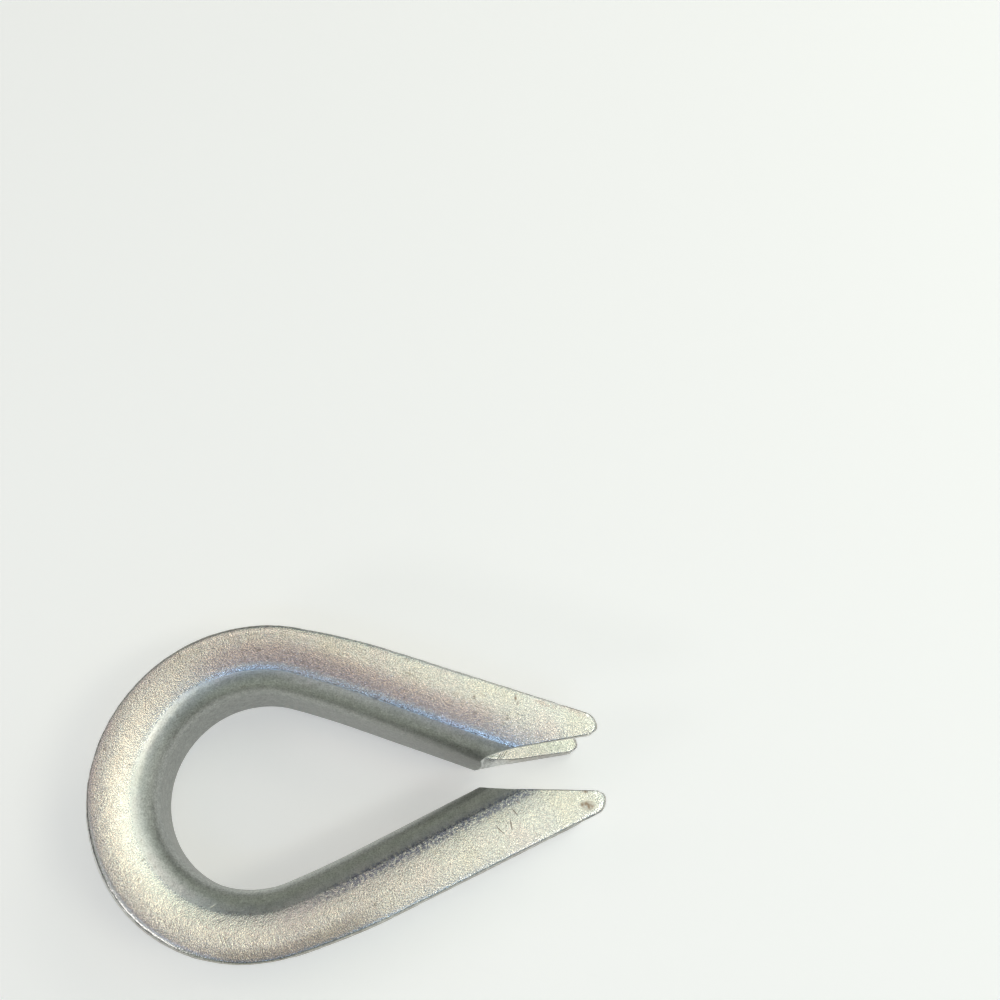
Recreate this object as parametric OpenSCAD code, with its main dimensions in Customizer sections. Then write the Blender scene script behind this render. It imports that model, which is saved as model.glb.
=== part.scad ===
// Wire rope thimble eye: one pressed steel channel bent to a teardrop.
// Frame: millimetres, +Z up, the thimble lying on its side. The origin is the centre
// of the round crown seat, where a pin or shackle bears, at mid height, and Z is the
// seat's axis. The crown points to -X and the two leg tips point to +X. The shape
// mirrors across y = 0 and across z = 0.
//
// Section words: the web is the wall round the eye, the flanges stand outward from
// it on both sides, and the rope lies in the groove between the flanges.

/* [Channel section] */
// Overall height of the channel, across the outer faces of both flanges
overall_h = 31.5; // [29:0.5:34]
// Thickness of the pressed sheet
sheet_t = 4; // [3:0.25:5]
// Eye-side radius of the bend between web and flange
fillet_r = 8; // [6.5:0.5:9]
// Distance from the web's eye-side face to where the flange meets its flat land
land_start = 15.1; // [14.5:0.1:15.5]

/* [Eye] */
// Radius of the round crown seat, measured on the web's eye-side face
seat_r = 23.9; // [22:0.1:25]
// Radius of the gentle shoulder curve between crown and straight leg
shoulder_r = 246; // [200:2:300]
// Angle of each straight leg to the centre line
leg_angle = 22.6; // [21:0.1:24]

/* [Flange outline] */
// Radius of the flange rim round the crown
rim_r = 40.6; // [39.5:0.1:42]
// How far the rim's centre sits ahead of the seat's centre
rim_shift = 0.6; // [0:0.1:1.5]
// Radius of the rim's shoulder curve
rim_shoulder_r = 178; // [150:2:200]
// Angle of the straight rim edge to the centre line
rim_angle = 20.9; // [20:0.1:22]

/* [Leg ends] */
// Length of the straight rim edge, up to the rounded tip
rim_edge_len = 53.5; // [51:0.1:55]
// Radius of the rounded flange tip
tip_r = 4.2; // [3.5:0.1:5]
// Distance of the flange end cut from the centre line, at its start
cut_offset = 5.06; // [4.8:0.02:6]
// Angle of the flange end cut to the centre line
cut_angle = 6.1; // [4:0.1:7]
// How far the web's end stands out past the flange end cut, towards the other leg
web_nose = 1.5; // [0.8:0.1:2]

/* [Hidden] */
$fn = 120;

// Lengths are rounded to a micron so that neighbouring pieces meet exactly.
function mu(v) = round(v * 1000) / 1000;

// Angle of the shoulder curve, about 4.35 degrees. Its sine 0.07584 and cosine 0.99712
// are short decimals, so that crown and shoulder meet without a rounding step. The
// rim's shoulder curve turns through it twice.
turn = atan2(237, 3116);
// Slope of each flange, rising outward from the bend, about 7.56 degrees. It is made up
// of three turns that are short decimals too, so that bend and flange meet exactly.
flange_slope = atan2(7, 24) - 2 * turn;

half_h = overall_h / 2;
// Half height of the web's straight band, from the seat's mid height to the bend
web_half = mu(half_h - (land_start - fillet_r * (1 - sin(flange_slope))) * tan(flange_slope)
              - fillet_r * cos(flange_slope));
flange_len = 24;

// Place of the straight leg's start, so that the crown seat is centred on Z
crown_in_leg = [-(shoulder_r - seat_r) * sin(turn),
                -shoulder_r + (shoulder_r - seat_r) * cos(turn)];
leg_x = mu(-(crown_in_leg[0] * cos(leg_angle) + crown_in_leg[1] * sin(leg_angle)));
leg_y = mu(-(-crown_in_leg[0] * sin(leg_angle) + crown_in_leg[1] * cos(leg_angle)));
leg_len = 62;

// Place of the straight rim edge's start, so that the crown rim is centred at rim_shift
crown_in_rim = [-(rim_shoulder_r - rim_r) * sin(2 * turn),
                -rim_shoulder_r + (rim_shoulder_r - rim_r) * cos(2 * turn)];
rim_x = mu(rim_shift - (crown_in_rim[0] * cos(rim_angle) + crown_in_rim[1] * sin(rim_angle)));
rim_y = mu(-(-crown_in_rim[0] * sin(rim_angle) + crown_in_rim[1] * cos(rim_angle)));

// Distance from the seat's axis where cut_offset is measured
cut_x = 67;
// Half heights up to which the web's nose is full, and at which it has faded out
nose_flat = 6.2;
nose_half = 14.3;

module at_slope() {
    rotate([0, 0, atan2(7, 24)]) rotate([0, 0, -turn]) rotate([0, 0, -turn]) children();
}

// Upper half of the section: web band, bend and sloped flange. x is the distance
// outward from the web's eye-side face and y the height above mid height.
module half_section() {
    square([sheet_t, web_half]);
    translate([fillet_r, web_half]) {
        intersection() {
            difference() {
                circle(r = fillet_r);
                circle(r = fillet_r - sheet_t);
            }
            translate([-20, 0]) square([40, 20]);
            at_slope() translate([-20, -20]) square([20, 40]);
        }
        at_slope() translate([0, fillet_r - sheet_t]) square([flange_len, sheet_t]);
    }
}

// The whole section, its flanges cut level where they reach the overall height
module section() {
    intersection() {
        union() {
            half_section();
            mirror([0, 1]) half_section();
        }
        translate([-10, -half_h]) square([60, overall_h]);
    }
}

// One side of the channel in the leg's own frame: x runs along the straight leg
// from its start, y points outward.
module leg_channel() {
    rotate([90, 0, 90]) linear_extrude(height = leg_len) section();
}

// Children are turned about the shoulder curve's centre, to the crown's end of it
module at_crown_end() {
    translate([0, -shoulder_r, 0]) rotate([0, 0, turn])
        translate([0, shoulder_r, 0]) children();
}

module shoulder_channel() {
    translate([0, -shoulder_r, 0]) rotate([0, 0, 90])
        rotate_extrude(angle = turn)
            translate([shoulder_r, 0]) section();
}

module crown_channel() {
    at_crown_end() translate([0, -seat_r, 0]) rotate([0, 0, 90])
        rotate_extrude(angle = 90 + leg_angle - turn + 3)
            translate([seat_r, 0]) section();
}

// The half of the channel on the +Y side, before its rim and end are trimmed
module half_channel() {
    intersection() {
        translate([leg_x, leg_y, 0]) rotate([0, 0, -leg_angle]) {
            leg_channel();
            shoulder_channel();
            crown_channel();
        }
        translate([-100, 0, -100]) cube([300, 200, 200]);
    }
}

// Children are turned about the rim shoulder's centre, to the crown's end of it
module at_crown_rim() {
    translate([0, -rim_shoulder_r]) rotate([0, 0, turn]) rotate([0, 0, turn])
        translate([0, rim_shoulder_r]) children();
}

// Flange outline in plan, the half on the +Y side
module half_outline() {
    intersection() {
        translate([rim_x, rim_y]) rotate([0, 0, -rim_angle]) {
            translate([0, -60]) square([rim_edge_len, 60]);
            translate([rim_edge_len, -tip_r]) intersection() {
                circle(r = tip_r);
                translate([0, -10]) square([10, 20]);
            }
            intersection() {
                translate([0, -rim_shoulder_r]) circle(r = rim_shoulder_r);
                translate([-60, -70]) square([60, 90]);
                at_crown_rim() translate([0, -90]) square([80, 120]);
            }
            at_crown_rim() intersection() {
                translate([0, -rim_r]) circle(r = rim_r);
                translate([-100, -100]) square([100, 120]);
            }
        }
        translate([-60, 0]) square([200, 100]);
    }
}

// What the end cut leaves of one leg: everything outward of the cut plane, with the
// web's nose standing past it, full over the web's middle and fading out over the
// bends
module inside_end_cut() {
    translate([cut_x, cut_offset, 0]) rotate([0, 0, cut_angle])
        rotate([90, 0, -90]) translate([0, 0, -60]) linear_extrude(height = 200)
            polygon([[-100, -30], [0, -30], [0, -nose_half], [web_nose, -nose_flat],
                     [web_nose, nose_flat], [0, nose_half], [0, 30], [-100, 30]]);
}

module half_thimble() {
    intersection() {
        half_channel();
        translate([0, 0, -50]) linear_extrude(height = 100) half_outline();
        inside_end_cut();
    }
}

module thimble() {
    color("gainsboro") {
        half_thimble();
        mirror([0, 1, 0]) half_thimble();
    }
}

thimble();
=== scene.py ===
import math

import bpy
import numpy as np
from mathutils import Matrix, Vector, noise


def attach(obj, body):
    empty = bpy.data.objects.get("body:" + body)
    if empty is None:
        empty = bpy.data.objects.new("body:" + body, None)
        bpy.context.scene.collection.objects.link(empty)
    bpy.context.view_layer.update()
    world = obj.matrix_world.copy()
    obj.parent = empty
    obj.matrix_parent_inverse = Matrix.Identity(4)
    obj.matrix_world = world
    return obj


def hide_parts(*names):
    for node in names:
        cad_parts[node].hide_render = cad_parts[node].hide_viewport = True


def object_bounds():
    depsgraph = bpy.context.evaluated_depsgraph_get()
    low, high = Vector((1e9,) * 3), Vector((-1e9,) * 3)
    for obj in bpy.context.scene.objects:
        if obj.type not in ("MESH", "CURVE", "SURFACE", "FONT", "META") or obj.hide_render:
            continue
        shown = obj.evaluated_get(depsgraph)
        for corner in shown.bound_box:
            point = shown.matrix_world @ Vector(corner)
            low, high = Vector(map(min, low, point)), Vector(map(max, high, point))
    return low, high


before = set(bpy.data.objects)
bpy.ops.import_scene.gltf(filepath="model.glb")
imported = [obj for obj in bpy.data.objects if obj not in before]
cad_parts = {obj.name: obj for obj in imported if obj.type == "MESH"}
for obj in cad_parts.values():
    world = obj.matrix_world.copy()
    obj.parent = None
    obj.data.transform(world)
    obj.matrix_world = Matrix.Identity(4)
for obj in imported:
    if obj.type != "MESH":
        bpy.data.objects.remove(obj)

CAD_BOX = [list(v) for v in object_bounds()]

# ---------------------------------------------------------------- the channel
# Millimetres, in the CAD frame: origin at the crown seat's centre, +Z up, crown to -X.
HALF_H = 15.75
SHEET = 4.0
FILLET = 8.0
WEB_HALF = 6.737
SEAT_R = 23.9
SHOULDER_R = 246.0
TURN = math.atan2(237, 3116)
LEG = math.radians(22.6)
RIM_R = 40.6
RIM_SHIFT = 0.6
RIM_SHOULDER_R = 178.0
RIM = math.radians(20.9)
EDGE_IN = 0.10          # how far the eye-side edge of the rim stands inside the outline
R_EYE, R_GROOVE, R_CUT = 0.75, 0.55, 0.38               # roundings of the sheet's edges


def unit(a):
    return np.array([math.cos(a), math.sin(a)])


def fbm(x, y, z, octaves=3):
    return noise.fractal(Vector((x, y, z)), 1.0, 2.1, octaves)


class Leg:
    """One side of the channel in plan, on the +Y side; side=-1 mirrors it."""

    def __init__(self, side, tip_r, tip_x, cut_y, cut_angle, nose, corner_r):
        self.side, self.tip_r, self.nose = side, tip_r, nose
        self.a_leg = math.pi / 2 - LEG                     # direction of the leg's normal
        self.a_crown = self.a_leg + TURN                   # of the normal where the crown ends
        self.sh_c = -(SHOULDER_R - SEAT_R) * unit(self.a_crown)
        self.leg0 = self.sh_c + SHOULDER_R * unit(self.a_leg)
        self.dleg = unit(-LEG)
        self.nleg = unit(self.a_leg)
        # outline
        self.ra_line = math.pi / 2 - RIM
        self.ra_crown = self.ra_line + 2 * TURN
        self.rc = np.array([RIM_SHIFT, 0.0])
        self.rs_c = self.rc - (RIM_SHOULDER_R - RIM_R) * unit(self.ra_crown)
        self.rline0 = self.rs_c + RIM_SHOULDER_R * unit(self.ra_line)
        self.drim, self.nrim = unit(-RIM), unit(self.ra_line)
        # the tip circle touches the rim line and reaches tip_x
        off = float(self.nrim @ self.rline0) - tip_r
        cx = tip_x - tip_r
        self.tip_c = np.array([cx, (off - self.nrim[0] * cx) / self.nrim[1]])
        # the end cut, in plan
        self.cut_a = math.radians(cut_angle)
        self.cut_p = np.array([67.0, cut_y])
        self.cut_n = np.array([-math.sin(self.cut_a), math.cos(self.cut_a)])
        # along the leg: xi of the cut where n = 0, and its slant
        self.slant = (self.cut_a + LEG)
        den = float(self.cut_n @ self.dleg)                # negative
        self.xi0 = float(self.cut_n @ (self.cut_p - self.leg0)) / den
        self.dxi_dn = -float(self.cut_n @ self.nleg) / den
        self.dxi_db = -math.cos(self.cut_a) / den          # per mm of nose towards the other leg
        # the corner between the tip circle and the cut, on the inset outline
        self.corner_r = corner_r
        big = tip_r - EDGE_IN - corner_r
        h = float(self.cut_n @ (self.tip_c - self.cut_p)) - (corner_r + R_CUT)
        along = np.array([self.cut_n[1], -self.cut_n[0]])
        self.corner_c = self.tip_c - h * self.cut_n + math.sqrt(max(0.0, big * big - h * h)) * along
        q = self.corner_c - self.tip_c
        self.corner_hi = math.atan2(q[1], q[0])
        self.corner_lo = math.atan2(-self.cut_n[1], -self.cut_n[0])
        self.len_crown = SEAT_R * (math.pi - self.a_crown)
        self.len_sh = SHOULDER_R * TURN

    def beyond(self, p):
        """Signed distance of a plan point outside the eye-side edge, its corner included."""
        q = np.asarray(p, float) - self.corner_c
        a = math.atan2(q[1], q[0])
        if self.corner_lo <= a <= self.corner_hi:
            return float(np.hypot(*q)) - self.corner_r
        if self.corner_lo - math.pi / 2 < a < self.corner_lo:
            return -1e-6
        return self.outside(p) + EDGE_IN

    def outside(self, p):
        """Signed distance of a plan point outside the flange outline, for y >= 0."""
        p = np.asarray(p, float)
        d = p - self.tip_c
        if float(d @ self.drim) > 0:
            return float(np.hypot(*d)) - self.tip_r
        q = p - self.rs_c
        a = math.atan2(q[1], q[0])
        if a < self.ra_line:
            return float(self.nrim @ (p - self.rline0))
        if a < self.ra_crown:
            return float(np.hypot(*q)) - RIM_SHOULDER_R
        return float(np.hypot(*(p - self.rc))) - RIM_R

    def bulge(self, z):
        t = min(1.0, abs(z) / 14.3)
        return self.nose * (1 - t * t) ** 1.1

    def cut_xi(self, n, z):
        return self.xi0 + n * self.dxi_dn + self.bulge(z) * self.dxi_db

    def square_off(self, z, tn, tz):
        """Unit vector (along the leg, n, z) in the sheet and square to the cut's edge."""
        dz = 0.01
        slope = self.dxi_dn * tn + self.dxi_db * tz * (self.bulge(z + dz) - self.bulge(z - dz)) / (2 * dz)
        e = np.array([slope, tn, tz])
        f = np.array([1.0, 0.0, 0.0]) - slope / float(e @ e) * e
        return f / math.sqrt(float(f @ f))

    def place(self, s, n):
        """Plan point and unit path direction at path length s from the crown, n outward."""
        if s < self.len_crown:
            a = math.pi - s / SEAT_R
            return (SEAT_R + n) * unit(a), np.array([math.sin(a), -math.cos(a)])
        s -= self.len_crown
        if s < self.len_sh:
            a = self.a_crown - s / SHOULDER_R
            return self.sh_c + (SHOULDER_R + n) * unit(a), np.array([math.sin(a), -math.cos(a)])
        s -= self.len_sh
        return self.leg0 + s * self.dleg + n * self.nleg, self.dleg


CAMBER = 0.207          # slope of the flange where it leaves the bend
LEVEL = 11.4            # mm further out it has eased off to level


def eye_profile(n_end):
    """Eye-side half profile from the web's middle to n_end: points (n, z) and the unit
    normals into the sheet."""
    pts = []
    for k in range(6):
        pts.append((0.0, WEB_HALF * k / 6, 1.0, 0.0))
    m = 13
    for k in range(m):
        a = (math.pi / 2 - math.atan(CAMBER)) * k / (m - 1)
        ca, sa = math.cos(a), math.sin(a)
        pts.append((FILLET - FILLET * ca, WEB_HALF + FILLET * sa, ca, -sa))
    n0, z0 = pts[-1][0], pts[-1][1]
    m = 15
    for k in range(1, m + 1):
        u = (n_end - n0) * k / m
        v = min(u, LEVEL)
        z = min(z0 + CAMBER * v * (1 - v / (2 * LEVEL)), HALF_H)
        dz = CAMBER * (1 - v / LEVEL)
        l = math.hypot(1.0, dz)
        pts.append((n0 + u, z, dz / l, -1.0 / l))
    return np.array(pts)


EYE_N = 6 + 13 + 15
ARC = 4


def step(v, a, b):
    t = max(0.0, min(1.0, (v - a) / (b - a)))
    return t * t * (3 - 2 * t)


def rim_round(s):
    """Rounding of the rim's eye-side edge: wider where it is rubbed, on the crown's -Y side."""
    return R_EYE + 0.75 * step(s, -36, -24) * (1 - step(s, -8, 2))


def half_loop(n_edge, r_eye=R_EYE):
    """Upper half of the closed section: eye side out, round the rim, groove side back.
    Returns (n, z, inward n, inward z, tag, eye n, eye z, tangent n, tangent z) rows; tag
    0 eye, 1 rim, 2 groove; the last four are the eye-side point square across the sheet
    and the sheet's direction there."""
    e = eye_profile(n_edge - r_eye)
    corner = eye_profile(n_edge)[-1]
    ce, nrm = corner[:2], corner[2:]
    tan = np.array([-nrm[1], nrm[0]])                      # outward along the eye side
    cg = ce + SHEET * nrm

    def row(p, d, tag):
        f = ce + float((p - ce) @ tan) * tan
        return (p[0], p[1], d[0], d[1], tag, f[0], f[1], tan[0], tan[1])

    rows = [(p[0], p[1], p[2], p[3], 0, p[0], p[1], -p[3], p[2]) for p in e]
    c = ce - r_eye * tan + r_eye * nrm
    for k in range(1, ARC + 1):
        a = math.pi / 2 * k / ARC
        d = -nrm * math.cos(a) + tan * math.sin(a)
        rows.append(row(c + r_eye * d, -d, 1))
    for k in (1, 2):
        rows.append(row(ce + nrm * (r_eye + (SHEET - r_eye - R_GROOVE) * k / 3), -tan, 1))
    c = cg - R_GROOVE * tan - R_GROOVE * nrm
    for k in range(ARC + 1):
        a = math.pi / 2 * k / ARC
        d = tan * math.cos(a) + nrm * math.sin(a)
        rows.append(row(c + R_GROOVE * d, -d, 1 if k < ARC else 2))
    g = eye_profile(n_edge - R_GROOVE)
    for p in g[::-1][1:]:
        q = p[:2] + SHEET * p[2:]
        rows.append((q[0], q[1], -p[2], -p[3], 2, p[0], p[1], -p[3], p[2]))
    return np.array(rows)


HALF_N = len(half_loop(16.0))


def full_loop(n_edge, r_eye=R_EYE):
    """Upper half from the web's eye-side middle to its groove-side middle, then the lower
    half, its mirror image, back again."""
    up = half_loop(n_edge, r_eye)
    low = up[1:-1][::-1].copy()
    low[:, [1, 3, 6, 8]] *= -1
    return np.vstack([up, low])


def edge_n(leg, xi_of_n, hi=26.0):
    """n at which the row leaves the outline inset by EDGE_IN."""
    lo = 5.0
    for _ in range(40):
        mid = 0.5 * (lo + hi)
        p = leg.leg0 + xi_of_n(mid) * leg.dleg + mid * leg.nleg
        if leg.beyond(p) > 0:
            hi = mid
        else:
            lo = mid
    return 0.5 * (lo + hi)


def side_rows(leg):
    """All rows of one side from y = 0 to the end cut: list of arrays of plan x, y, z,
    inward normal, tag, path direction."""
    rows = []
    s = 0.0
    total = leg.len_crown + leg.len_sh
    fan0 = 24.0                                             # xi where the rows begin to slant
    plain = list(np.arange(0.0, leg.len_crown - 0.2, 0.55)) + \
        list(np.linspace(leg.len_crown, total + fan0, 46))
    for s in plain:
        lo, hi = 5.0, 26.0
        for _ in range(40):
            mid = 0.5 * (lo + hi)
            p, _d = leg.place(s, mid)
            if leg.outside(p) + EDGE_IN > 0:
                hi = mid
            else:
                lo = mid
        ne = 0.5 * (lo + hi)
        loop = full_loop(ne, rim_round(leg.side * s))
        out = []
        for n, z, dn, dz, tag, _en, _ez, _tn, _tz in loop:
            p, d = leg.place(s, n)
            nn = np.array([-d[1], d[0]])
            out.append((p[0], p[1], z, dn * nn[0], dn * nn[1], dz, tag, n, s, d[0], d[1]))
        rows.append(np.array(out))
    # the slanting rows: tau = 1 is the cut itself, less its rounding
    back = R_CUT / math.sin(leg.slant)

    def xi_at(tau, n, z, short=back):
        return fan0 + tau * (leg.cut_xi(n, z) - short - fan0)

    # spread tau so that the rim ends of the rows are evenly spaced, tip included
    ts = np.linspace(0, 1, 700)
    ends = []
    for t in ts:
        ne = edge_n(leg, lambda n: xi_at(t, n, 15.0))
        ends.append(leg.leg0 + xi_at(t, ne, 15.0) * leg.dleg + ne * leg.nleg)
    ends = np.array(ends)
    arc = np.r_[0, np.cumsum(np.hypot(*np.diff(ends, axis=0).T))]
    # mix even spacing along the rim with even spacing along the web
    mix = 0.75 * arc / arc[-1] + 0.25 * ts
    taus = np.interp(np.linspace(0, 1, 92)[1:], mix, ts)
    for t in taus:
        ne = edge_n(leg, lambda n: xi_at(t, n, 15.0))
        loop = full_loop(ne)
        out = []
        for n, z, dn, dz, tag, en, ez, tn, tz in loop:
            off = leg.square_off(ez, tn, tz)
            xi = xi_at(t, en, ez, R_CUT / off[0])           # cut square to the sheet
            p = leg.leg0 + xi * leg.dleg + n * leg.nleg
            nn = leg.nleg
            out.append((p[0], p[1], z, dn * nn[0], dn * nn[1], dz, tag, n,
                        total + xi, leg.dleg[0], leg.dleg[1]))
        rows.append(np.array(out))
    # rounding into the cut face
    last = rows[-1]
    off = np.array([leg.square_off(r[6], r[7], r[8]) for r in loop])
    ahead = off[:, :1] * leg.dleg + off[:, 1:2] * leg.nleg
    into = last[:, 3:6].copy()
    along = (leg.dxi_dn * leg.dleg + leg.nleg) / math.hypot(leg.dxi_dn, 1.0)
    at_rim = last[:, 6] == 1
    into[at_rim, :2] = (into[at_rim, :2] @ leg.nleg)[:, None] * along
    for k in range(1, ARC + 1):
        a = math.pi / 2 * k / ARC
        nxt = last.copy()
        fwd = R_CUT * math.sin(a)
        ins = R_CUT * (1 - math.cos(a))
        nxt[:, 0] += fwd * ahead[:, 0] + ins * into[:, 0]
        nxt[:, 1] += fwd * ahead[:, 1] + ins * into[:, 1]
        nxt[:, 2] += fwd * off[:, 2] + ins * into[:, 2]
        nxt[:, 6] = 3
        rows.append(nxt)
    for r in rows:
        r[:, 1] *= leg.side
        r[:, 4] *= leg.side
        r[:, 10] *= leg.side
    return rows


LEG_A = Leg(1, tip_r=4.3, tip_x=87.45, cut_y=5.06, cut_angle=6.1, nose=1.5, corner_r=1.9)
LEG_B = Leg(-1, tip_r=3.9, tip_x=87.5, cut_y=5.35, cut_angle=5.4, nose=1.6, corner_r=1.7)
rows_a = side_rows(LEG_A)
rows_b = side_rows(LEG_B)
# one run of rows from leg B's end over the crown to leg A's end
rows = rows_b[::-1][:-1] + rows_a
NR, NL = len(rows), len(rows[0])
P = np.array(rows)                                          # NR x NL x 11

# hand-made irregularity: the rim wanders, the sheet waves a little, burrs on the edges
co = P[:, :, :3].copy()
inward = P[:, :, 3:6]
for i in range(NR):
    for j in range(NL):
        x, y, z = co[i, j]
        tag, n = P[i, j, 6], P[i, j, 7]
        wave = 0.07 * fbm(x * 0.045, y * 0.045, z * 0.045 + 3.1)
        rim = max(0.0, min(1.0, (n - 9.0) / 6.0))
        top = 1.0 if z > 0 else -1.0
        wob = 0.13 * rim * fbm(x * 0.11 + 7.0, y * 0.11, 2.0 * top)
        burr = 0.0
        if tag in (1, 3):
            burr = 0.07 * fbm(x * 0.8, y * 0.8, z * 0.5 + 11.0, 2)
        # move along the sheet's own normal and, at the rim, in plan
        k = -abs(0.35 * wave) if tag != 0 else -wave
        side = inward[i, j]
        co[i, j] += side * (abs(wave) * 0.9)
        co[i, j, 0] -= inward[i, j, 0] * burr
        co[i, j, 1] -= inward[i, j, 1] * burr
        if rim > 0:
            r = math.hypot(x, y) or 1.0
            co[i, j, 0] -= x / r * abs(wob) * 0.8
            co[i, j, 1] -= y / r * abs(wob) * 0.8
lo, hi = CAD_BOX
for k in range(3):
    np.clip(co[:, :, k], lo[k] * 1000, hi[k] * 1000, out=co[:, :, k])

# ---------------------------------------------------------------- mesh
verts = (co.reshape(-1, 3) * 0.001).tolist()
faces = []
for i in range(NR - 1):
    a, b = i * NL, (i + 1) * NL
    for j in range(NL):
        k = (j + 1) % NL
        faces.append((a + j, a + k, b + k, b + j))


def cap(row):
    """Closes a cut end: the eye-side and groove-side edges are bridged point by point."""
    base = row * NL
    out = []
    for ix in (list(range(HALF_N)), [0] + [NL - k for k in range(1, HALF_N - 1)] + [HALF_N - 1]):
        for q in range(EYE_N - 1):
            out.append([ix[q], ix[q + 1], ix[HALF_N - 2 - q], ix[HALF_N - 1 - q]])
        out.append(ix[EYE_N - 1:HALF_N - EYE_N + 1])
    return [[base + v for v in f] for f in out]


caps = cap(0) + cap(NR - 1)
mesh = bpy.data.meshes.new("thimble_shell")
mesh.from_pydata(verts, [], faces + caps)
mesh.validate(verbose=False)
import bmesh
bm = bmesh.new()
bm.from_mesh(mesh)
bmesh.ops.recalc_face_normals(bm, faces=bm.faces)
open_edges = sum(1 for e in bm.edges if len(e.link_faces) != 2)
vol = bm.calc_volume()
print("shell: %d verts %d faces, open edges %d, volume %.1f mm3" %
      (len(bm.verts), len(bm.faces), open_edges, vol * 1e9))
bm.to_mesh(mesh)
bm.free()
for p in mesh.polygons:
    p.use_smooth = True
# where each point lies on the sheet: n outward from the web, path length from the crown
# (negative on the -Y leg), eye or groove side, edge
att = mesh.attributes.new("sheet", "FLOAT_COLOR", "POINT")
flat = P.reshape(-1, 11)
side_of = np.repeat(np.array([LEG_B.side] * (len(rows_b) - 1) + [LEG_A.side] * len(rows_a)), NL)
cols = np.ones((len(flat), 4), np.float32)
cols[:, 0] = flat[:, 7] / 20.0
cols[:, 1] = 0.5 + side_of * flat[:, 8] / 260.0
cols[:, 2] = np.where(np.isin(flat[:, 6], (1, 3)), 1.0, 0.0)
cols[:, 3] = np.where(flat[:, 6] == 2, 1.0, 0.0)
# the roundings take on the edges' colour gradually
grid = cols.reshape(NR, NL, 4)
grid[:, [EYE_N, NL - EYE_N], 2] = 0.0
grid[:, [EYE_N + 1, NL - EYE_N - 1], 2] *= 0.5
grid[[ARC - 1, NR - ARC], :, 2] *= 0.3
face = np.arange(EYE_N + ARC, EYE_N + 2 * ARC + 2)
grid[:, np.r_[face, NL - face], 2] *= 0.6
att.data.foreach_set("color", cols.ravel())
shell = bpy.data.objects.new("thimble_shell", mesh)
bpy.context.scene.collection.objects.link(shell)
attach(shell, "root")
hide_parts("thimble")

# ---------------------------------------------------------------- material


def new_mat(name):
    m = bpy.data.materials.new(name)
    m.use_nodes = True
    nt = m.node_tree
    nt.nodes.clear()
    out = nt.nodes.new("ShaderNodeOutputMaterial")
    b = nt.nodes.new("ShaderNodeBsdfPrincipled")
    nt.links.new(b.outputs[0], out.inputs[0])
    return m, nt, b


mat, nt, bsdf = new_mat("zinc_plate")
N, L = nt.nodes, nt.links
tex = N.new("ShaderNodeTexCoord")


def noise_node(scale, detail=4.0, rough=0.55, dist=0.0):
    n = N.new("ShaderNodeTexNoise")
    n.inputs["Scale"].default_value = scale
    n.inputs["Detail"].default_value = detail
    n.inputs["Roughness"].default_value = rough
    n.inputs["Distortion"].default_value = dist
    L.new(tex.outputs["Object"], n.inputs["Vector"])
    return n.outputs["Fac"]


def ramp(src, stops):
    r = N.new("ShaderNodeValToRGB")
    while len(r.color_ramp.elements) < len(stops):
        r.color_ramp.elements.new(0.5)
    for e, (pos, col) in zip(r.color_ramp.elements, stops):
        e.position = pos
        e.color = (*col, 1) if len(col) == 3 else col
    L.new(src, r.inputs[0])
    return r.outputs[0]


def mix(fac, a, b, mode="MIX"):
    m = N.new("ShaderNodeMix")
    m.data_type = "RGBA"
    m.blend_type = mode
    if isinstance(fac, float):
        m.inputs[0].default_value = fac
    else:
        L.new(fac, m.inputs[0])
    for sock, v in ((m.inputs[6], a), (m.inputs[7], b)):
        if isinstance(v, tuple):
            sock.default_value = (*v, 1)
        else:
            L.new(v, sock)
    return m.outputs[2]


def math_node(op, a, b=None, clamp=False):
    m = N.new("ShaderNodeMath")
    m.operation = op
    m.use_clamp = clamp
    for k, v in enumerate((a, b)):
        if v is None:
            continue
        if isinstance(v, (int, float)):
            m.inputs[k].default_value = v
        else:
            L.new(v, m.inputs[k])
    return m.outputs[0]


def grey(v):
    return (v, v, v)


def window(src, a, b, c, d):
    """0 below a, 1 from b to c, 0 above d."""
    up = N.new("ShaderNodeMapRange")
    up.interpolation_type = "SMOOTHSTEP"
    up.inputs[1].default_value, up.inputs[2].default_value = a, b
    L.new(src, up.inputs[0])
    dn = N.new("ShaderNodeMapRange")
    dn.interpolation_type = "SMOOTHSTEP"
    dn.inputs[1].default_value, dn.inputs[2].default_value = c, d
    dn.inputs[3].default_value, dn.inputs[4].default_value = 1.0, 0.0
    L.new(src, dn.inputs[0])
    return math_node("MULTIPLY", up.outputs[0], dn.outputs[0])


at = N.new("ShaderNodeAttribute")
at.attribute_name = "sheet"
sep = N.new("ShaderNodeSeparateColor")
L.new(at.outputs["Color"], sep.inputs[0])
n_out = math_node("MULTIPLY", sep.outputs[0], 20.0)         # mm outward from the web
s_path = math_node("MULTIPLY", math_node("SUBTRACT", sep.outputs[1], 0.5), 260.0)
edge = sep.outputs[2]
groove = at.outputs["Alpha"]
sep_xyz = N.new("ShaderNodeSeparateXYZ")
L.new(tex.outputs["Object"], sep_xyz.inputs[0])
height = sep_xyz.outputs[2]


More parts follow.
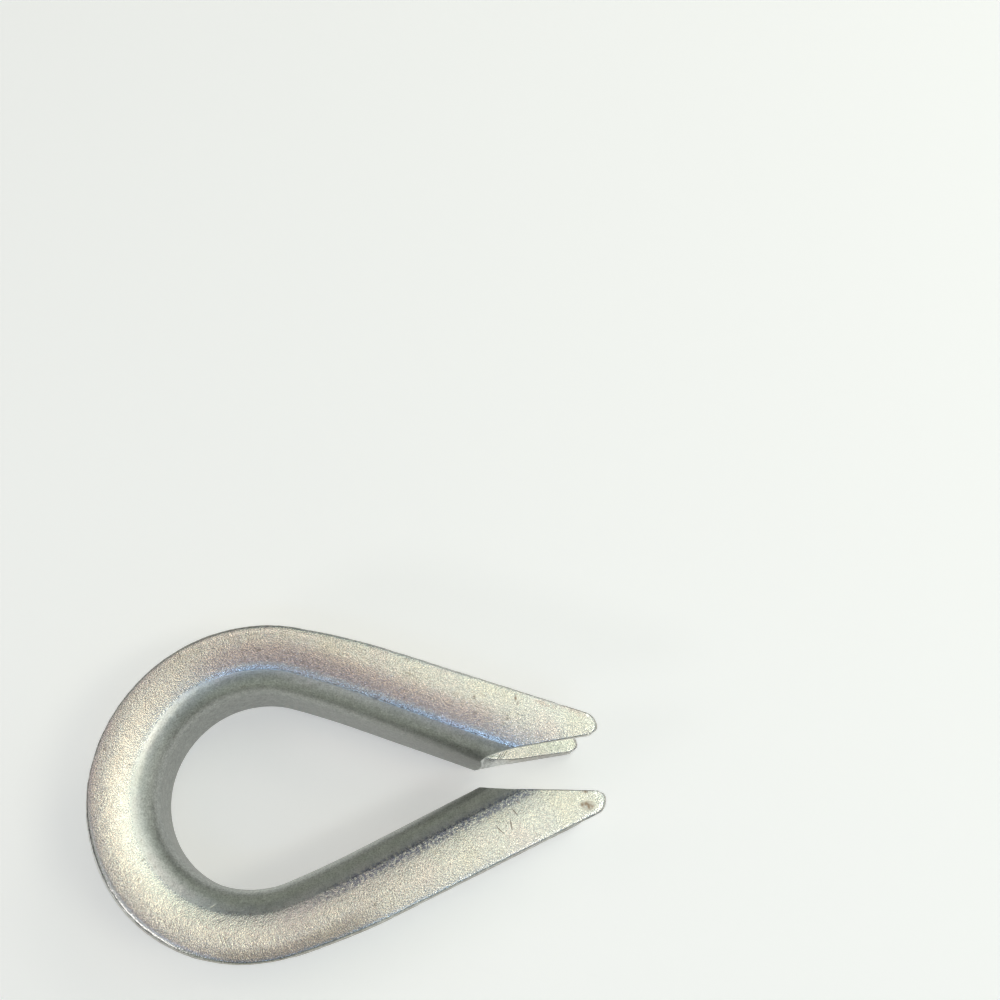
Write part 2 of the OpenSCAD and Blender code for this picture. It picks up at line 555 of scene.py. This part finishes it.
def blob(x, y, angle, a, b, z=0.0155, hard=0.35):
    """1 inside an ellipse of half axes a and b mm at x, y mm, fading out past its edge."""
    m = N.new("ShaderNodeMapping")
    m.vector_type = "TEXTURE"
    m.inputs["Location"].default_value = (x / 1000, y / 1000, z)
    m.inputs["Rotation"].default_value = (0, 0, math.radians(angle))
    m.inputs["Scale"].default_value = (a / 1000, b / 1000, 0.003)
    L.new(tex.outputs["Object"], m.inputs["Vector"])
    v = N.new("ShaderNodeVectorMath")
    v.operation = "LENGTH"
    L.new(m.outputs[0], v.inputs[0])
    r = N.new("ShaderNodeMapRange")
    r.interpolation_type = "SMOOTHSTEP"
    r.inputs[1].default_value, r.inputs[2].default_value = hard, 1.25
    r.inputs[3].default_value, r.inputs[4].default_value = 1.0, 0.0
    L.new(v.outputs["Value"], r.inputs[0])
    return r.outputs[0]


def total(parts):
    out = parts[0]
    for p in parts[1:]:
        out = math_node("MAXIMUM", out, p)
    return out


grain = noise_node(3000, 2.0, 0.6)
mottle = noise_node(620, 4, 0.6)
patch = noise_node(70, 3, 0.55)
n_soft = math_node("ADD", n_out, math_node("MULTIPLY", math_node("SUBTRACT", mottle, 0.5), 2.4))

# colour: zinc, faintly warm or cool in patches; the web greener and mottled, and darkened with painted shade
flange_c = ramp(patch, [(0.36, (0.77, 0.76, 0.71)), (0.5, (0.75, 0.755, 0.74)), (0.64, (0.78, 0.745, 0.735))])
web_tone_and_shade_c = ramp(mottle, [(0.36, (0.55, 0.57, 0.53)), (0.62, (0.68, 0.695, 0.66))])
# painted shade: the web darker still from the crown's -Y end to the +Y leg
web_tone_and_shade_c = mix(window(s_path, -50, -15, 200, 210), web_tone_and_shade_c, ramp(mottle, [(0.36, (0.43, 0.445, 0.42)), (0.62, (0.53, 0.545, 0.52))]))
# painted highlight on the crown's flange, which is also calmer (less grain)
crown = window(s_path, -64, -46, 10, 34)
crown_painted_highlight = math_node("MULTIPLY", crown, window(n_soft, 4.0, 7.0, 12.0, 15.5))
flange_c = mix(crown_painted_highlight, flange_c, (0.85, 0.86, 0.845))
calm = math_node("MULTIPLY", crown, window(n_soft, 5.0, 7.0, 10.0, 13.0))
# painted shade: darker along the rim below the crown
rim_painted_shade = math_node("MULTIPLY", window(s_path, -66, -52, -36, -28), window(n_soft, 12.0, 15.5, 50, 60))
flange_c = mix(math_node("MULTIPLY", rim_painted_shade, 0.9), flange_c, (0.48, 0.46, 0.43))
# painted reflection: a mauve tint on the +Y flange, next to the bend
painted_mauve_reflection = math_node("MULTIPLY", window(s_path, 22, 34, 92, 106), window(n_soft, 6.2, 7.6, 9.5, 14.0))
flange_c = mix(painted_mauve_reflection, flange_c, (0.685, 0.62, 0.605))
# painted shade: the web much darker from the bottom up to 6-10 mm above the middle
web_low_painted_shade_c = ramp(mottle, [(0.38, (0.27, 0.28, 0.26)), (0.60, (0.38, 0.39, 0.365))])
web_tone_and_shade_c = mix(window(height, -0.020, -0.016, 0.0060, 0.0098), web_tone_and_shade_c, web_low_painted_shade_c)
# painted highlight: a lighter band along the top of the web, by height
web_tone_and_shade_c = mix(math_node("MULTIPLY", window(height, 0.0088, 0.0104, 0.0116, 0.0136), 0.45), web_tone_and_shade_c, (0.62, 0.635, 0.60))
web_tone_and_shade_c = mix(1.0, web_tone_and_shade_c, ramp(noise_node(1700, 3, 0.65), [(0.38, grey(0.82)), (0.5, grey(1.0)), (0.62, grey(1.10))]), "MULTIPLY")
col = mix(window(n_soft, 1.5, 6.5, 50, 60), web_tone_and_shade_c, flange_c)
groove_c = ramp(mottle, [(0.36, (0.68, 0.68, 0.61)), (0.6, (0.84, 0.83, 0.77))])
col = mix(groove, col, groove_c)
edge_c = ramp(mottle, [(0.35, (0.22, 0.19, 0.16)), (0.6, (0.46, 0.44, 0.40))])
edge_c = mix(window(n_out, 4.0, 9.0, 50, 60), ramp(mottle, [(0.35, (0.62, 0.63, 0.62)), (0.6, (0.82, 0.83, 0.82))]), edge_c)
# rubbed lines along the rim, below the crown and on the +Y leg: glossier from real wear, and lightened as a painted
# highlight
worn_and_painted_highlight = math_node("MULTIPLY", window(s_path, -34, -26, -8, -1), window(n_out, 14.5, 14.8, 15.7, 15.9))
worn_and_painted_highlight = total([worn_and_painted_highlight, math_node("MULTIPLY", math_node("MULTIPLY", window(s_path, 16, 26, 44, 54),
                                                    window(n_out, 14.2, 14.7, 15.2, 15.6)), 0.6)])
worn_and_painted_highlight = math_node("MULTIPLY", worn_and_painted_highlight, math_node("SUBTRACT", 1.0, groove))
worn_and_painted_highlight = math_node("MULTIPLY", worn_and_painted_highlight, ramp(mottle, [(0.34, grey(0.6)), (0.5, grey(1.0))]))
col = mix(math_node("MULTIPLY", edge, 0.85), col, edge_c)
# painted highlight: the rubbed rim lines lightened
col = mix(math_node("MULTIPLY", worn_and_painted_highlight, 0.9), col, (0.92, 0.91, 0.90))
col = mix(math_node("SUBTRACT", 1.0, math_node("MULTIPLY", calm, 0.3)), col,
          mix(1.0, col, ramp(grain, [(0.34, grey(0.80)), (0.5, grey(1.0)), (0.66, grey(1.14))]), "MULTIPLY"))
# dark specks in the coating
spots = noise_node(420, 5, 0.7)
specks = ramp(spots, [(0.63, grey(0)), (0.70, grey(1))])
col = mix(math_node("MULTIPLY", specks, 0.5), col, (0.22, 0.19, 0.15))
# painted reflection: dark bluish flecks along the bend of the -Y leg
painted_blue_reflection = math_node("MULTIPLY", window(n_out, 4.6, 6.0, 7.4, 9.0), window(s_path, -112, -106, -62, -40))
painted_blue_reflection = math_node("MULTIPLY", painted_blue_reflection, ramp(noise_node(1300, 3, 0.65), [(0.43, grey(0)), (0.54, grey(1))]))
col = mix(math_node("MULTIPLY", painted_blue_reflection, 0.75), col, (0.20, 0.22, 0.34))
# brown stains near the tips, and a pinkish film along the +Y rim
uneven = ramp(noise_node(900, 4, 0.7), [(0.36, grey(0)), (0.58, grey(1))])
stain = total([blob(82.3, -10.7, -10, 1.9, 1.3), blob(80.8, -10.4, 0, 0.9, 0.6),
               blob(82.0, -7.3, 0, 0.8, 0.35), blob(66.2, 17.6, 80, 1.1, 0.4), blob(66.6, 16.2, 60, 0.7, 0.3)])
col = mix(math_node("MULTIPLY", math_node("MULTIPLY", stain, uneven), 0.85), col, (0.36, 0.24, 0.15))
film = total([blob(81.5, 13.2, -25, 4.5, 1.0), blob(74.0, 15.6, -20, 3.5, 0.8)])
col = mix(math_node("MULTIPLY", math_node("MULTIPLY", film, uneven), 0.5), col, (0.56, 0.42, 0.38))
# short scratches and rubbed marks: brown on the -Y leg, pale across the crown
nick = total([blob(63.5, -10.9, -52, 1.3, 0.20), blob(62.3, -14.0, -84, 1.4, 0.20),
              blob(59.4, -15.0, -45, 1.5, 0.18), blob(64.6, -8.6, -30, 0.9, 0.16)])
col = mix(math_node("MULTIPLY", nick, 0.8), col, (0.34, 0.28, 0.21))
# bright rubbed spots on the tips
shine = total([blob(84.7, -7.9, -55, 1.4, 0.5), blob(85.6, -10.6, 70, 1.3, 0.5), blob(79.6, -6.8, 4, 1.6, 0.25),
               blob(83.4, -12.3, 25, 1.6, 0.3), blob(84.6, 11.6, 60, 1.5, 0.45), blob(84.4, 8.6, 15, 1.2, 0.3)])
shine = math_node("MULTIPLY", shine, ramp(noise_node(1500, 3, 0.7), [(0.44, grey(0)), (0.56, grey(1))]))
col = mix(math_node("MULTIPLY", shine, 0.8), col, (0.95, 0.95, 0.94))
rub = total([blob(-7.4, -34.6, -66, 1.5, 0.22), blob(-6.3, -35.3, -66, 1.6, 0.20), blob(4.9, -35.7, -80, 1.2, 0.2),
             blob(-9.5, -27.2, 30, 1.2, 0.16), blob(-27.0, -1.5, 60, 1.4, 0.14)])
col = mix(math_node("MULTIPLY", rub, 0.6), col, (0.86, 0.82, 0.72))
# three scratches inside the lower flange of the +Y leg, behind the cut
gouge = total([blob(64.2, 7.0, 55, 1.3, 0.13, z=-0.011), blob(65.0, 7.2, 55, 1.4, 0.13, z=-0.011),
               blob(65.8, 7.4, 55, 1.3, 0.13, z=-0.011)])
col = mix(math_node("MULTIPLY", gouge, 0.8), col, (0.25, 0.25, 0.20))
L.new(col, bsdf.inputs["Base Color"])
bsdf.inputs["Metallic"].default_value = 1.0
# gloss: the bend's outer line is drawn smoother by the press, the +Y leg's most of all
rough = mix(window(n_soft, 2.5, 7.0, 50, 60), ramp(mottle, [(0.3, grey(0.36)), (0.7, grey(0.46))]),
            ramp(mottle, [(0.3, grey(0.20)), (0.7, grey(0.28))]))
line = window(n_out, 4.8, 5.2, 5.8, 6.3)
sparkle = math_node("MULTIPLY", math_node("MULTIPLY", line, window(s_path, 24, 40, 106, 112)),
                    ramp(grain, [(0.40, grey(0.35)), (0.55, grey(1.0))]))
rough = mix(sparkle, rough, grey(0.09))
rough = mix(total([worn_and_painted_highlight, shine]), rough, grey(0.14))
rough = mix(total([stain, nick]), rough, grey(0.5))
L.new(rough, bsdf.inputs["Roughness"])
bump = N.new("ShaderNodeBump")
bump.inputs["Strength"].default_value = 0.8
bump.inputs["Distance"].default_value = 0.00009
L.new(math_node("MULTIPLY", grain, math_node("SUBTRACT", 1.0, math_node("MULTIPLY", total([calm, line]), 0.4))), bump.inputs["Height"])
bump2 = N.new("ShaderNodeBump")
bump2.inputs["Strength"].default_value = 0.5
bump2.inputs["Distance"].default_value = 0.0001
L.new(math_node("SUBTRACT", mottle, math_node("MULTIPLY", total([nick, rub, gouge]), 0.6)), bump2.inputs["Height"])
L.new(bump.outputs[0], bump2.inputs["Normal"])
L.new(bump2.outputs[0], bsdf.inputs["Normal"])
mesh.materials.append(mat)

# ---------------------------------------------------------------- stage
fm, fnt, fb = new_mat("floor_plain")
fb.inputs["Base Color"].default_value = (0.94, 0.94, 0.94, 1)
fb.inputs["Emission Color"].default_value = (1.0, 1.0, 1.0, 1)
fb.inputs["Emission Strength"].default_value = 0.32
fb.inputs["Roughness"].default_value = 0.85
fb.inputs["Specular IOR Level"].default_value = 0.2
floor_mesh = bpy.data.meshes.new("floor")
z0 = lo[2]
S = 3.0
floor_mesh.from_pydata([(-S, -S, z0), (S, -S, z0), (S, S, z0), (-S, S, z0)], [], [(0, 1, 2, 3)])
floor_mesh.materials.append(fm)
floor = bpy.data.objects.new("floor", floor_mesh)
bpy.context.scene.collection.objects.link(floor)


def panel(name, x, y, z, rgb):
    """A soft light panel over x, y and z ranges (metres; one of the ranges is a single
    value) that faces the object. rgb is its brightness."""
    span = [v if isinstance(v, tuple) else (v, v) for v in (x, y, z)]
    mid = Vector([(a + b) / 2 for a, b in span])
    flat_axis = [k for k in range(3) if span[k][0] == span[k][1]][0]
    face = Vector((0, 0, 0))
    face[flat_axis] = -1.0 if mid[flat_axis] > 0 else 1.0
    ld = bpy.data.lights.new(name, "AREA")
    ld.shape = "RECTANGLE"
    w, h = [span[k][1] - span[k][0] for k in range(3) if k != flat_axis]
    ld.size, ld.size_y = w, h
    top = max(rgb)
    ld.color = [v / top for v in rgb]
    ld.energy = math.pi * w * h * top
    ob = bpy.data.objects.new(name, ld)
    ob.location = mid
    if flat_axis != 2:
        ob.rotation_euler = face.to_track_quat("-Z", "Y").to_euler()
    bpy.context.scene.collection.objects.link(ob)
    return ob


# a studio of soft panels: a key overhead towards +Y, wide ones to either side, low ones
# round about, and a small cool one on the -Y side that the bend lines catch
panel("key", (-0.085, 0.233), (0.070, 0.213), 1.0, (2.34, 1.86, 1.36))
panel("key_back", (-0.085, 0.233), (0.213, 0.404), 1.0, (0.84, 0.99, 0.80))
panel("right", (0.090, 2.07), (-2.05, 2.05), 1.03, (0.31, 0.37, 0.40))
panel("right_near", (0.090, 2.07), (0.070, 0.404), 1.02, (0.56, 0.62, 0.46))
panel("left", (-2.03, -0.305), (-2.05, 2.05), 1.03, (0.28, 0.30, 0.27))
panel("left_back", (-2.03, -0.085), (0.213, 0.404), 1.02, (0.68, 0.52, 0.53))
panel("left_front", (-0.707, 0.090), (-0.325, -0.105), 1.0, (0.47, 0.48, 0.59))
panel("right_front", (0.424, 0.801), (-0.325, -0.105), 1.0, (6.33, 6.02, 4.93))
panel("right_back", (0.424, 0.801), (0.404, 0.781), 1.0, (2.20, 1.92, 1.58))
panel("far_corner", (0.801, 2.07), (0.781, 2.05), 1.0, (1.28, 1.34, 1.16))
panel("cool", (-0.20, 0.30), (-0.485, -0.450), 1.0, (3.6, 5.3, 7.6))
panel("edge", (-1.5, -0.9), (-1.1, -0.66), 0.99, (4.4, 4.3, 4.2))
panel("low_front", (-0.68, 0.72), -1.2, (0.063, 0.255), (0.99, 1.07, 0.84))
panel("low_back", (-0.68, 0.72), 1.2, (0.063, 0.255), (0.81, 0.87, 0.70))
panel("low_right", 1.22, (-0.7, 0.7), (0.063, 0.255), (1.56, 1.57, 1.42))
panel("mid_front", (-0.9, 0.9), -1.21, (0.27, 0.62), (0.40, 0.43, 0.40))
panel("mid_right", 1.23, (-0.9, 0.7), (0.27, 0.62), (0.55, 0.58, 0.55))

world = bpy.data.worlds.new("studio")
bpy.context.scene.world = world
world.use_nodes = True
bg = world.node_tree.nodes["Background"]
bg.inputs[0].default_value = (0.95, 0.95, 1.0, 1)
bg.inputs[1].default_value = 0.01
bpy.context.scene.view_settings.view_transform = "Standard"

# ---------------------------------------------------------------- camera
yaw, pitch, roll = 0.35004, -1.13909, 0.29415
C = Vector((0.02591, -0.03757, 0.28965 - 0.01575))
d = Vector((math.sin(yaw) * math.cos(pitch), math.cos(yaw) * math.cos(pitch), math.sin(pitch)))
r = Vector((math.cos(yaw), -math.sin(yaw), 0))
u = r.cross(d)
r2 = math.cos(roll) * r + math.sin(roll) * u
u2 = -math.sin(roll) * r + math.cos(roll) * u
cam_data = bpy.data.cameras.new("camera")
cam_data.sensor_fit = "HORIZONTAL"
cam_data.sensor_width = 36.0
cam_data.lens = 36.0
cam_data.clip_start = 0.01
cam_data.clip_end = 20
cam = bpy.data.objects.new("camera", cam_data)
cam.matrix_world = Matrix(((r2.x, u2.x, -d.x, C.x), (r2.y, u2.y, -d.y, C.y),
                           (r2.z, u2.z, -d.z, C.z), (0, 0, 0, 1)))
bpy.context.scene.collection.objects.link(cam)
bpy.context.scene.camera = cam
